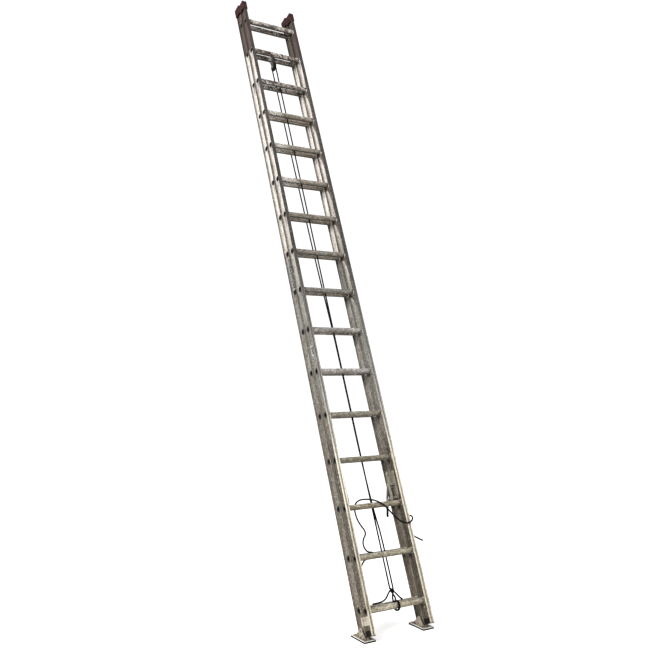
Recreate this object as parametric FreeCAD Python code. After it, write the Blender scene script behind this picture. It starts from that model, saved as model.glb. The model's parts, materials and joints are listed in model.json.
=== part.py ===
import FreeCAD, Part
import math
import os
from FreeCAD import Vector

# Two-section aluminium extension ladder, shown closed and leaning at its working angle.
# Everything is drawn in the ladder's own frame and then leaned over:
#   X  along the rungs, Y  from the climber's side towards the wall, Z  up along the rails.
# The fly section is on the climber's side; its lowest rung has its axis at Y = 0, Z = 0.
# The finished frame has +Z up and its origin on the floor, midway between the two shoes.

# ---- driving dimensions, mm and degrees ----
LEAN = 22.0                  # rails from the vertical
RUNGS = 16
PITCH = 304.8
RAIL_LENGTH = 4877.0
RAIL_SPACING = 434.0         # between the two webs
RAIL_DEPTH = 69.0
FLANGE = 28.0                # width of a flange
FLANGE_T = 3.2
WEB_T = 2.6
SECTION_STEP = 71.0          # base section behind the fly
BASE_RISE = 13.0             # base rungs above the fly's rungs
FLY_FOOT = -137.0            # lower end of the fly rails
BASE_FOOT = -115.0           # lower end of the base rails
FLOOR_DROP = 168.0           # floor below the fly's lowest rung axis

RUNG_R = 18.0
RUNG_WALL = 2.0
TREAD_HALF = 16.0
TREAD_TILT = 14.5            # tread lies level when the ladder leans at 75.5 degrees
SPIGOT_R = 15.0
BORE_R = 12.5
GAP = 0.1

SHOE_Z = -98.0               # shoe pivot along the base rail
SHOE_HALF_X = 43.0
SHOE_HALF_Y = 76.0
TREAD_T = 8.0
PLATE_T = 3.0
EAR_IN = 15.5
EAR_T = 4.0
BOLT_R = 5.0

LOCK_RUNG = 2                # the locks sit at the third rung from the bottom
HOOK_X = 184.0
HOOK_T = 12.0
HOOK_PIN = Vector(0, 22, 38)     # from the fly rung's axis
FINGER_PIN = Vector(0, 98.5, 33)
FINGER_LENGTH = 104.0

ROPE_R = 5.0
WHEEL_X = 4.0
WHEEL_DROP = 66.0
WHEEL_ROPE_R = 29.0
AXLE_R = 5.0

WEB_X = RAIL_SPACING / 2
BASE_Y = SECTION_STEP
HALF_D = RAIL_DEPTH / 2
FLY_TOP = FLY_FOOT + RAIL_LENGTH
BASE_TOP = BASE_FOOT + RAIL_LENGTH
LOCK_Z = LOCK_RUNG * PITCH

os.makedirs("parts", exist_ok=True)


# ---- shape helpers ----
def prism(points, axis, start, end):
    """Extrude a closed outline along X ('x', outline in Y, Z) or along Z ('z', outline in X, Y)."""
    if axis == "x":
        corners = [Vector(start, a, b) for a, b in points]
        travel = Vector(end - start, 0, 0)
    else:
        corners = [Vector(a, b, start) for a, b in points]
        travel = Vector(0, 0, end - start)
    return Part.Face(Part.makePolygon(corners + corners[:1])).extrude(travel)


def box(x0, x1, y0, y1, z0, z1):
    return Part.makeBox(x1 - x0, y1 - y0, z1 - z0, Vector(x0, y0, z0))


def rod_x(radius, x0, x1, y, z):
    return Part.makeCylinder(radius, x1 - x0, Vector(x0, y, z), Vector(1, 0, 0))


def ring_x(outer, inner, x0, x1, y, z):
    return rod_x(outer, x0, x1, y, z).cut(rod_x(inner, x0 - 1, x1 + 1, y, z))


def join(shapes):
    return shapes[0].multiFuse(shapes[1:]).removeSplitter()


def mirrored(shape):
    return shape.mirror(Vector(0, 0, 0), Vector(1, 0, 0))


def both_sides(shape):
    return Part.makeCompound([shape, mirrored(shape)])


def lean(shape):
    """Tip the ladder's frame back and stand its shoes on the floor."""
    done = shape.copy()
    done.rotate(Vector(0, 0, 0), Vector(1, 0, 0), -LEAN)
    done.translate(Vector(0, -shoe_pivot.y, FLOOR_DROP))
    return done


def leaned_point(y, z):
    angle = math.radians(LEAN)
    return Vector(0, y * math.cos(angle) + z * math.sin(angle), z * math.cos(angle) - y * math.sin(angle))


def save(name, shape):
    shape.exportStep(os.path.join("parts", name + ".step"))


shoe_pivot = leaned_point(BASE_Y, SHOE_Z)
PIVOT_HEIGHT = shoe_pivot.z + FLOOR_DROP


# ---- fasteners: places of the rivets on the +X side, as (Y, Z) in the ladder's frame ----
RIVET_R = 2.4
RIVET_HOLE_R = 2.5
RIVET_HEAD_R = 4.6
RIVET_HEAD_T = 1.8
LOCK_RIVETS = [(11, LOCK_Z + 204), (10, LOCK_Z + 170), (11, LOCK_Z + 136)]
FLY_GUIDE_Z = (-78.0, -28.0)
FLY_GUIDE_RIVETS = [(-12, -66), (10, -40)]
FOOT_CAP_RIVET = [(0, -122)]
BASE_GUIDE_Z = (4606.0, 4662.0)
BASE_GUIDE_RIVETS = [(BASE_Y - 10, 4648), (BASE_Y + 12, 4622)]


def rivets(places, inner, outer):
    """Domed rivets along X from inner to outer, a head at each end."""
    done = []
    for y, z in places:
        shank = rod_x(RIVET_R, inner, outer, y, z)
        head_in = rod_x(RIVET_HEAD_R, inner - RIVET_HEAD_T, inner, y, z)
        head_out = rod_x(RIVET_HEAD_R, outer, outer + RIVET_HEAD_T, y, z)
        done.append(join([shank, head_in, head_out]))
    return done


def rivet_holes(places):
    return [rod_x(RIVET_HOLE_R, WEB_X - 60, WEB_X + 60, y, z) for y, z in places]


# ---- rails: extruded I-beams, pierced for the rungs ----
def rail(y_mid, foot, first_rung, holes):
    half_f = FLANGE / 2
    half_w = WEB_T / 2
    inner = HALF_D - FLANGE_T
    fillet = 2.5
    outline = [(-half_f, -HALF_D), (half_f, -HALF_D), (half_f, -inner), (half_w + fillet, -inner),
               (half_w, -inner + fillet), (half_w, inner - fillet), (half_w + fillet, inner),
               (half_f, inner), (half_f, HALF_D), (-half_f, HALF_D), (-half_f, inner),
               (-half_w - fillet, inner), (-half_w, inner - fillet), (-half_w, -inner + fillet),
               (-half_w - fillet, -inner), (-half_f, -inner)]
    beam = prism([(x + WEB_X, y + y_mid) for x, y in outline], "z", foot, foot + RAIL_LENGTH)
    rung_holes = [rod_x(SPIGOT_R + 0.05, WEB_X - 5, WEB_X + 5, y_mid, first_rung + k * PITCH)
                  for k in range(RUNGS)]
    return beam.cut(Part.makeCompound(rung_holes + holes))


# ---- rungs: D-section tubes with a ribbed tread, ends reduced to a spigot and rolled over ----
def make_rung():
    inside = WEB_X - WEB_T / 2 - GAP
    outer = join([rod_x(RUNG_R, -inside, inside, 0, 0),
                  box(-inside, inside, -TREAD_HALF, TREAD_HALF, 0, TREAD_HALF)])
    grooves = [box(-inside, inside, y - 1.4, y + 1.4, TREAD_HALF - 1.0, TREAD_HALF + 1)
               for y in (-10.5, -3.5, 3.5, 10.5)]
    hollow_r = RUNG_R - RUNG_WALL
    hollow_half = TREAD_HALF - RUNG_WALL
    end = 4.0
    hollow = join([rod_x(hollow_r, -inside + end, inside - end, 0, 0),
                   box(-inside + end, inside - end, -hollow_half, hollow_half, 0, hollow_half - 1)])
    tube = outer.cut(Part.makeCompound(grooves)).cut(hollow)
    tube.rotate(Vector(0, 0, 0), Vector(1, 0, 0), TREAD_TILT)
    tip = WEB_X + WEB_T / 2 + GAP
    solid = join([tube,
                  rod_x(20.5, inside - 3.5, inside, 0, 0), rod_x(20.5, -inside, -inside + 3.5, 0, 0),
                  rod_x(SPIGOT_R, inside - 1, tip + 3, 0, 0), rod_x(SPIGOT_R, -tip - 3, -inside + 1, 0, 0),
                  rod_x(18.0, tip, tip + 3, 0, 0), rod_x(18.0, -tip - 3, -tip, 0, 0)])
    return solid.cut(rod_x(BORE_R, -tip - 10, tip + 10, 0, 0))


def rung_at(y, z):
    done = rung_shape.copy()
    done.translate(Vector(0, y, z))
    return done


rung_shape = make_rung()
fly_rail = rail(0, FLY_FOOT, 0, rivet_holes(LOCK_RIVETS + FLY_GUIDE_RIVETS + FOOT_CAP_RIVET))
shoe_hole = rod_x(BOLT_R + 0.05, WEB_X - 20, WEB_X + 20, BASE_Y, SHOE_Z)
base_rail = rail(BASE_Y, BASE_FOOT, BASE_RISE, rivet_holes(BASE_GUIDE_RIVETS) + [shoe_hole])
save("fly_rail_right", lean(fly_rail))
save("fly_rail_left", lean(mirrored(fly_rail)))
save("base_rail_right", lean(base_rail))
save("base_rail_left", lean(mirrored(base_rail)))

for number in range(1, RUNGS + 1):
    height = (RUNGS - number) * PITCH
    save("fly_rung_%02d" % number, lean(rung_at(0, height)))
    save("base_rung_%02d" % number, lean(rung_at(BASE_Y, height + BASE_RISE)))


# ---- plastic caps on the rail ends ----
CAP_HALF_X = 20.0
CAP_SLEEVE = 64.0
CAP_LID = 9.0
CAP_WALL = 4.0


def top_cap(y_mid, top, open_side):
    """Sleeve over a rail end, open on the side that faces the other section."""
    front = -open_side * (HALF_D + CAP_WALL)
    back = open_side * (HALF_D - 0.3)
    y0, y1 = sorted((y_mid + front, y_mid + back))
    outer = box(WEB_X - CAP_HALF_X, WEB_X + CAP_HALF_X, y0, y1, top - CAP_SLEEVE, top + CAP_LID)
    upright = [e for e in outer.Edges if abs(e.Vertexes[0].Z - e.Vertexes[-1].Z) > CAP_SLEEVE / 2
               and abs(e.Vertexes[0].Y - y_mid - front) < 1]
    crown = [e for e in outer.Edges if min(v.Z for v in e.Vertexes) > top and
             abs(e.Vertexes[0].X - e.Vertexes[-1].X) < 1]
    outer = outer.makeFillet(3.0, upright + crown)
    room_x = FLANGE / 2 + 0.3
    pocket = box(WEB_X - room_x, WEB_X + room_x, y_mid - HALF_D - 0.3, y_mid + HALF_D + 0.3,
                 top - CAP_SLEEVE - 1, top + 0.2)
    slot = prism([(y_mid - 16, top - 4), (y_mid - 9, top - 2), (y_mid + 24, top - 16), (y_mid + 20, top - 21)],
                 "x", WEB_X + room_x - 2, WEB_X + CAP_HALF_X + 1)
    return outer.cut(Part.makeCompound([pocket, slot]))


def foot_cap():
    """Plug for the fly rail's lower end: an end plate with a tongue in each channel."""
    plate = box(WEB_X - 13.9, WEB_X + 13.9, -HALF_D, HALF_D, FLY_FOOT - 3.2, FLY_FOOT - 0.1)
    inner_y = HALF_D - FLANGE_T - 0.3
    near = WEB_T / 2 + 0.2
    chamfer = 2.6
    tongues = []
    for side in (-1, 1):
        x0 = WEB_X + side * near
        x1 = WEB_X + side * 13.4
        xc = x0 + side * chamfer
        outline = [(x0, -inner_y + chamfer), (xc, -inner_y), (x1, -inner_y), (x1, inner_y),
                   (xc, inner_y), (x0, inner_y - chamfer)]
        tongues.append(prism(outline, "z", FLY_FOOT - 1, FLY_FOOT + 30))
    return join([plate] + tongues).cut(Part.makeCompound(rivet_holes(FOOT_CAP_RIVET)))


save("fly_top_caps", lean(both_sides(top_cap(0, FLY_TOP, 1))))
save("base_top_caps", lean(both_sides(top_cap(BASE_Y, BASE_TOP, -1))))
save("fly_foot_caps", lean(both_sides(foot_cap())))


# ---- guide irons: riveted to one section's web, hooked round the other section's flange ----
def guide(y_mid, towards, span, holes):
    """Bent strap in the outer channel; towards is +1 when it hooks a section behind its own."""
    x0 = WEB_X + WEB_T / 2 + GAP
    t = 3.0
    arm_x = WEB_X + FLANGE / 2 + 1.0
    leg = towards * (HALF_D - FLANGE_T - 0.3)
    lip = towards * (HALF_D + 2.0 + FLANGE_T + 0.6 + t)
    start = -towards * 20.0
    ys = [start, leg, leg - towards * t, lip, lip - towards * t]
    outline = [(x0, ys[0]), (x0, ys[2] - towards * 3.2), (x0 + 2.8, ys[1]), (arm_x, ys[1]), (arm_x, ys[4]),
               (arm_x - 7, ys[4]), (arm_x - 7, ys[3]), (arm_x + t, ys[3]), (arm_x + t, ys[2]),
               (x0 + t + 1.2, ys[2]), (x0 + t, ys[2] - towards * 1.2), (x0 + t, ys[0])]
    strap = prism([(x, y + y_mid) for x, y in outline], "z", span[0], span[1])
    return strap.cut(Part.makeCompound(rivet_holes(holes)))


save("fly_guides", lean(both_sides(guide(0, 1, FLY_GUIDE_Z, FLY_GUIDE_RIVETS))))
save("base_guides", lean(both_sides(guide(BASE_Y, -1, BASE_GUIDE_Z, BASE_GUIDE_RIVETS))))


# ---- rung locks: bracket, sprung hook over the base rung, and the tongue that hangs from it ----
def lock_point(y, z):
    return (y, LOCK_Z + z)


def lock_bracket():
    """Channel riveted inside the rail: outer cheek on the web, inner cheek, bridge and pins."""
    t = 3.0
    outer_x = WEB_X - WEB_T / 2 - GAP
    inner_x = HOOK_X - HOOK_T / 2 - 7.5
    outline = [(3, 216), (28, 216), (28, 26), (14, 26), (3, 70)]
    cheek = prism([lock_point(y, z) for y, z in outline], "x", outer_x - t, outer_x)
    bar = [(17, 212), (29, 212), (32, 200), (32, 30), (28, 26), (14, 26), (12, 60), (17, 110)]
    inner_cheek = prism([lock_point(y, z) for y, z in bar], "x", inner_x - t, inner_x)
    bridge = box(inner_x - t, outer_x, 17, 20, LOCK_Z + 120, LOCK_Z + 206)
    pin = rod_x(4.0, inner_x - t - 2, outer_x - 1, HOOK_PIN.y, LOCK_Z + HOOK_PIN.z)
    stop = rod_x(3.0, inner_x - t - 1.5, outer_x - 1, 27, LOCK_Z + 108)
    body = join([cheek, inner_cheek, bridge, pin, stop])
    return body.cut(Part.makeCompound(rivet_holes(LOCK_RIVETS)))


def lock_hook():
    """Cast plate with an open triangle; its saddle drops over the base rung."""
    outline = [(22, 28), (40, 28), (48, 24), (104, 24), (106, 48), (60, 139), (52, 143), (46, 139),
               (44, 54), (24, 47)]
    x0 = HOOK_X - HOOK_T / 2
    x1 = HOOK_X + HOOK_T / 2
    plate = join([prism([lock_point(y, z) for y, z in outline], "x", x0, x1),
                  rod_x(9.5, x0, x1, HOOK_PIN.y, LOCK_Z + HOOK_PIN.z)])
    window = prism([lock_point(y, z) for y, z in ((52, 56), (53, 122), (56, 124), (94, 50), (90, 46), (58, 46))],
                   "x", x0 - 1, x1 + 1)
    saddle = rod_x(24.6, x0 - 1, x1 + 1, BASE_Y, LOCK_Z + BASE_RISE)
    pin_hole = rod_x(4.06, x0 - 1, x1 + 1, HOOK_PIN.y, LOCK_Z + HOOK_PIN.z)
    slot = box(HOOK_X - 3.4, HOOK_X + 3.4, 90, 112, LOCK_Z + 20, LOCK_Z + 43)
    pin = rod_x(2.5, x0 + 0.5, x1 - 0.5, FINGER_PIN.y, LOCK_Z + FINGER_PIN.z)
    return plate.cut(Part.makeCompound([window, saddle, pin_hole, slot])).fuse(pin).removeSplitter()


def lock_finger():
    """Flat tongue hung from the hook's tip; it hangs plumb."""
    half = 3.0
    y = FINGER_PIN.y
    z = LOCK_Z + FINGER_PIN.z
    outline = [(y - 5, z), (y + 5, z), (y + 5, z - 12), (y + 13, z - 24), (y + 13, z - FINGER_LENGTH + 6),
               (y + 7, z - FINGER_LENGTH), (y - 5, z - FINGER_LENGTH)]
    blade = prism(outline, "x", HOOK_X - half, HOOK_X + half)
    eye = rod_x(5.0, HOOK_X - half, HOOK_X + half, y, z)
    tongue = join([blade, eye]).cut(rod_x(2.56, HOOK_X - half - 1, HOOK_X + half + 1, y, z))
    tongue.rotate(Vector(0, y, z), Vector(1, 0, 0), LEAN)
    return tongue


def lock_spring():
    """Envelope of the torsion spring on the hook's pin."""
    x0 = HOOK_X + HOOK_T / 2 + 1.0
    return ring_x(7.6, 4.5, x0, x0 + 14.0, HOOK_PIN.y, LOCK_Z + HOOK_PIN.z)


hook = lock_hook()
finger = lock_finger()
save("lock_brackets", lean(both_sides(lock_bracket())))
save("lock_hook_right", lean(hook))
save("lock_hook_left", lean(mirrored(hook)))
save("lock_finger_right", lean(finger))
save("lock_finger_left", lean(mirrored(finger)))
save("lock_springs", lean(both_sides(lock_spring())))

web_in = WEB_X - WEB_T / 2
web_out = WEB_X + WEB_T / 2
fly_fixings = rivets(LOCK_RIVETS, web_in - GAP - 3.0, web_out)
fly_fixings += rivets(FLY_GUIDE_RIVETS, web_in, web_out + GAP + 3.0)
fly_fixings += rivets(FOOT_CAP_RIVET, WEB_X - 13.4, WEB_X + 13.4)
save("fly_rivets", lean(both_sides(Part.makeCompound(fly_fixings))))


# ---- shoes: drawn level on the floor, about the pivot bolt ----
def hexagon(radius, x0, x1, y, z):
    points = []
    for corner in range(6):
        angle = math.radians(60 * corner)
        points.append((y + radius * math.cos(angle), z + radius * math.sin(angle)))
    return prism(points, "x", x0, x1)


def shoe():
    z0 = TREAD_T
    z1 = TREAD_T + PLATE_T
    sole = box(WEB_X - SHOE_HALF_X, WEB_X + SHOE_HALF_X, -SHOE_HALF_Y, SHOE_HALF_Y, z0, z1)
    corners = [e for e in sole.Edges if abs(e.Vertexes[0].Z - e.Vertexes[-1].Z) > 1]
    sole = sole.makeFillet(8.0, corners)
    head = 15.0
    ears = []
    for side in (-1, 1):
        x0, x1 = sorted((WEB_X + side * EAR_IN, WEB_X + side * (EAR_IN + EAR_T)))
        flank = prism([(-50, z0 + 1), (50, z0 + 1), (50, z1 + 6), (head, PIVOT_HEIGHT), (-head, PIVOT_HEIGHT),
                       (-50, z1 + 6)], "x", x0, x1)
        ears.append(flank.fuse(rod_x(head, x0, x1, 0, PIVOT_HEIGHT)))
    solid = join([sole] + ears)
    return solid.cut(rod_x(BOLT_R + 0.06, WEB_X - 30, WEB_X + 30, 0, PIVOT_HEIGHT))


def shoe_tread():
    pad = box(WEB_X - SHOE_HALF_X, WEB_X + SHOE_HALF_X, -SHOE_HALF_Y, SHOE_HALF_Y, 0, TREAD_T - 0.05)
    corners = [e for e in pad.Edges if abs(e.Vertexes[0].Z - e.Vertexes[-1].Z) > 1]
    pad = pad.makeFillet(8.0, corners)
    grooves = [box(WEB_X - 50, WEB_X + 50, y - 2, y + 2, -1, 3) for y in range(-60, 61, 15)]
    return pad.cut(Part.makeCompound(grooves))


def shoe_bolt():
    ear_out = EAR_IN + EAR_T
    shank = rod_x(BOLT_R, WEB_X - ear_out - 7, WEB_X + ear_out + 0.4, 0, PIVOT_HEIGHT)
    head = hexagon(8.5, WEB_X + ear_out + 0.3, WEB_X + ear_out + 6.3, 0, PIVOT_HEIGHT)
    nut = hexagon(8.5, WEB_X - ear_out - 6.3, WEB_X - ear_out - 0.3, 0, PIVOT_HEIGHT)
    return join([shank, head, nut])


save("shoe_right", shoe())
save("shoe_left", mirrored(shoe()))
save("shoe_tread_right", shoe_tread())
save("shoe_tread_left", mirrored(shoe_tread()))
base_fixings = [lean(r) for r in rivets(BASE_GUIDE_RIVETS, web_in, web_out + GAP + 3.0)]
save("base_fasteners", both_sides(Part.makeCompound(base_fixings + [shoe_bolt()])))


# ---- pulley hung from the base section's second rung ----
PULLEY_RUNG_Z = (RUNGS - 2) * PITCH + BASE_RISE
WHEEL_Z = PULLEY_RUNG_Z - WHEEL_DROP
CHEEK_IN = 8.0
CHEEK_T = 3.0


def pulley_hanger():
    """Two eye plates round the rung, joined by a spacer and a lower web."""
    plates = []
    for side in (-1, 1):
        x0, x1 = sorted((WHEEL_X + side * CHEEK_IN, WHEEL_X + side * (CHEEK_IN + CHEEK_T)))
        eye = rod_x(28.5, x0, x1, BASE_Y, PULLEY_RUNG_Z)
        stem = prism([(BASE_Y - 22, PULLEY_RUNG_Z - 15), (BASE_Y + 22, PULLEY_RUNG_Z - 15),
                      (BASE_Y + 12, WHEEL_Z), (BASE_Y - 12, WHEEL_Z)], "x", x0, x1)
        boss = rod_x(12.0, x0, x1, BASE_Y, WHEEL_Z)
        plates.append(join([eye, stem, boss]).cut(rod_x(23.2, x0 - 1, x1 + 1, BASE_Y, PULLEY_RUNG_Z)))
    # The spacers sit in the corners above and beside the wheel's rim.
    bars = [rod_x(2.3, WHEEL_X - CHEEK_IN - 1, WHEEL_X + CHEEK_IN + 1, BASE_Y + side * 21, PULLEY_RUNG_Z + 15.3)
            for side in (-1, 1)]
    holes = rod_x(AXLE_R + 0.05, WHEEL_X - 30, WHEEL_X + 30, BASE_Y, WHEEL_Z)
    return join(plates + bars).cut(holes)


def pulley_wheel():
    half = 6.8
    disc = rod_x(33.5, WHEEL_X - half, WHEEL_X + half, BASE_Y, WHEEL_Z)
    groove = Part.makeTorus(WHEEL_ROPE_R, ROPE_R + 0.35, Vector(WHEEL_X, BASE_Y, WHEEL_Z), Vector(1, 0, 0))
    mouth = ring_x(40, WHEEL_ROPE_R, WHEEL_X - ROPE_R - 0.35, WHEEL_X + ROPE_R + 0.35, BASE_Y, WHEEL_Z)
    return disc.cut(Part.makeCompound([groove, mouth])).cut(rod_x(AXLE_R + 0.06, -30, 40, BASE_Y, WHEEL_Z))


def pulley_axle():
    end = CHEEK_IN + CHEEK_T + 0.2
    pin = rod_x(AXLE_R, WHEEL_X - end - 2.5, WHEEL_X + end + 0.1, BASE_Y, WHEEL_Z)
    return pin.fuse(rod_x(8.0, WHEEL_X + end, WHEEL_X + end + 2.5, BASE_Y, WHEEL_Z)).removeSplitter()


save("pulley_hanger", lean(pulley_hanger()))
save("pulley_wheel", lean(pulley_wheel()))
save("pulley_axle", lean(pulley_axle()))


# ---- rope: 10 mm, in straight runs joined by tangent arcs ----
def rope(route, radius=ROPE_R, name=""):
    """Tube along the route's points; each arc is 0.45 of the shorter run over tan of half the turn."""
    points = [Vector(*p) for p in route]
    edges = []
    radii = []
    start = points[0]
    for before, corner, after in zip(points, points[1:], points[2:]):
        into = (corner - before).normalize()
        out = (after - corner).normalize()
        reach = 0.45 * min((corner - before).Length, (after - corner).Length)
        half_turn = into.getAngle(out) / 2
        radii.append(reach / math.tan(half_turn))
        arc_start = corner - into * reach
        arc_end = corner + out * reach
        sagitta = radii[-1] * (1 / math.cos(half_turn) - 1)
        middle = corner + (out - into).normalize() * sagitta
        edges.append(Part.LineSegment(start, arc_start).toShape())
        edges.append(Part.Arc(arc_start, middle, arc_end).toShape())
        start = arc_end
    edges.append(Part.LineSegment(start, points[-1]).toShape())
    spine = Part.Wire(edges)
    begin = (points[1] - points[0]).normalize()
    section = Part.Wire([Part.Circle(points[0], begin, radius).toShape()])
    tube = spine.makePipeShell([section], True, False)
    print("%s length %.0f, smallest radius %.0f, volume ratio %.4f"
          % (name, spine.Length, min(radii) if radii else 0, tube.Volume / (math.pi * radius ** 2 * spine.Length)))
    return tube


# Lifting strand: from the wheel's front down to the knot, between the two sections.
LIFT_Y = BASE_Y - WHEEL_ROPE_R
KNOT_R = 10.5
LIFT_TOP = WHEEL_Z - 24
lift_strand = [(WHEEL_X, LIFT_Y, LIFT_TOP), (13, LIFT_Y, 108)]
save("rope_lift_strand", lean(rope(lift_strand, name="rope_lift_strand")))

# Hand line: over the wheel, down behind the base rungs, then forward between the third and second.
RIM = WHEEL_ROPE_R * math.tan(math.radians(30))
CREST = WHEEL_ROPE_R / math.cos(math.radians(30))
hand_line = [(WHEEL_X, LIFT_Y, LIFT_TOP + 0.3), (WHEEL_X, LIFT_Y, WHEEL_Z + RIM),
             (WHEEL_X, BASE_Y, WHEEL_Z + CREST), (WHEEL_X, BASE_Y + WHEEL_ROPE_R, WHEEL_Z + RIM),
             (5, 100, 4100), (9, 100, 3516), (23, 100, 2400), (43, 100, 1900), (46, 100, 1500), (47, 100, 900),
             (60, 100, 565), (40, 46, 425), (40, 46, 110)]
save("rope_hand_line", lean(rope(hand_line, name="rope_hand_line")))

# Knot, two turns round the fly's lowest rung with the legs that reach them, and the tail ends.
TURN_R = 27.9
turns = [Part.makeTorus(TURN_R, ROPE_R, Vector(x, 0, 0), Vector(1, 0, 0)) for x in (3, 12.5)]
lump_ends = (Vector(13, 35, 96), Vector(25, 34, 87))
lump = [Part.makeSphere(KNOT_R, end) for end in lump_ends]
lump.append(Part.makeCylinder(KNOT_R, (lump_ends[1] - lump_ends[0]).Length, lump_ends[0], lump_ends[1] - lump_ends[0]))
left_leg = rope([(25, 33, 82), (13, 29, 62), (5, 24, 42), (3, 19, 20)], name="left leg")
right_leg = rope([(12, 33, 88), (20, 31, 68), (28, 27, 50), (24, 23, 34), (13, 19, 20)], name="right leg")
left_tail = rope([(12, 34, 95), (-13, 29, 80), (-38, 20, 55), (-72, 11, 38), (-112, 6, 33), (-158, 4, 33)],
                 name="left tail")
right_tail = rope([(25, 33, 90), (40, 26, 70), (50, 15, 46), (64, 6, 27.5)], name="right tail")
save("rope_knot", lean(join(lump + [left_leg, right_leg, left_tail, right_tail] + turns)))

# Loose end of rope: lies behind the second rung, loops up, crosses the third rung in front and
# goes round the right rail's front flange into the outer channel.
Z2 = PITCH
Z3 = 2 * PITCH
loose = [(-168, 27, Z2 - 48), (-148, 30, Z2 - 23), (-120, 33, Z2 - 10), (-90, 35, Z2 - 10), (-62, 36, Z2 - 10),
         (-51, 36, Z2 + 9), (-62, 34, Z2 + 28), (-86, 31, Z2 + 28), (-107, 29, Z2 + 38), (-119, 28, Z2 + 60),
         (-122, 28, Z2 + 86), (-112, 27, Z2 + 112), (-91, 26, Z2 + 134), (-88, 26, Z2 + 160),
         (-106, 26, Z2 + 186), (-124, 27, Z2 + 222), (-131, 29, Z2 + 262), (-129, 31, Z2 + 302),
         (-116, 26, Z2 + 336), (-88, 10, Z3 + 46), (-52, -8, Z3 + 42), (-8, -22, Z3 + 31), (34, -29, Z3 + 8),
         (72, -31, Z3 - 28), (106, -36, Z3 - 78), (142, -41, Z3 - 122), (182, -45, Z3 - 142),
         (222, -46, Z3 - 139), (244, -46, Z3 - 118), (249, -34, Z3 - 100), (248, -12, Z3 - 90),
         (243, 9, Z3 - 96), (237, 19, Z3 - 116), (230, 17, Z3 - 142), (227, 9, Z3 - 168), (229, 2, Z3 - 194),
         (244, -4, Z3 - 218), (272, -10, Z3 - 238), (304, -16, Z3 - 258)]
save("rope_loose", lean(rope(loose, name="rope_loose")))
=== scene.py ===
import json
import math

import bmesh
import bpy
from mathutils import Matrix, Vector


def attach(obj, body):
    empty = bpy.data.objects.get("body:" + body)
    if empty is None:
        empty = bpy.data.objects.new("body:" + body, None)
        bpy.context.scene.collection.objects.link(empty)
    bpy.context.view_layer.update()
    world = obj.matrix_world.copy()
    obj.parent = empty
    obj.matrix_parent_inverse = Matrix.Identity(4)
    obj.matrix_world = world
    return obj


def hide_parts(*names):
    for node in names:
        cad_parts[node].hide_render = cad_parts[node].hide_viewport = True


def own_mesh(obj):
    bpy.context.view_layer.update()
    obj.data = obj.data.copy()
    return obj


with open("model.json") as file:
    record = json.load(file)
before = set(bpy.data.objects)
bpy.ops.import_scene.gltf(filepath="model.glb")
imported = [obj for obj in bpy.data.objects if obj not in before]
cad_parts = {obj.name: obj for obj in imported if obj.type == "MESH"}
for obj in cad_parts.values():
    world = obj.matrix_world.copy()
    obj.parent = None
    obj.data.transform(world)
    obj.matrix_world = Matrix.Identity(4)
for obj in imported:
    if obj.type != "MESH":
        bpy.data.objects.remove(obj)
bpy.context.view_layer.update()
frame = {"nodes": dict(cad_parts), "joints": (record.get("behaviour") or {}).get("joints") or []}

scene = bpy.context.scene
joints = {j["name"]: j for j in frame["joints"]}


# The ladder's own frame, in millimetres: x along the rungs, y from the climber towards the wall,
# z up along the rails. The fly's lowest rung has its axis at y = 0, z = 0.
# The rails lean as the fly's slide does, and the pulley's axle ties the frame to the floor.
UP = Vector(joints["fly_slide"]["axis"]).normalized()
DEPTH = Vector((0, UP.z, -UP.y))
LEAN = math.atan2(UP.y, UP.z)
PITCH = 304.8
WEB_X = 217.0
BASE_Y, BASE_RISE = 71.0, 13.0
WHEEL = (4.0, BASE_Y, 14 * PITCH + BASE_RISE - 66.0)
FOOT = Vector(joints["pulley_spin"]["pos_m"]) - (
    Vector((WHEEL[0], 0, 0)) + DEPTH * WHEEL[1] + UP * WHEEL[2]) / 1000


def ladder(x, y, z):
    """A place in the ladder's own frame, in metres in the row's frame."""
    return FOOT + (Vector((x, 0, 0)) + DEPTH * y + UP * z) / 1000


# Camera: stands to the climber's left, at eye height, and looks slightly up at the ladder.
# It sees the outside of the left rails, the rungs' tops near the foot and their undersides above.
camera_data = bpy.data.cameras.new("camera")
camera_data.sensor_width = 36
camera_data.lens = 42.5
camera = bpy.data.objects.new("camera", camera_data)
scene.collection.objects.link(camera)
camera.location = ladder(0, 0, 0) + Vector((-2.808, -3.827, 1.453))
camera.rotation_euler = (math.radians(93.0), 0, math.radians(-31.1))
scene.camera = camera


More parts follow.
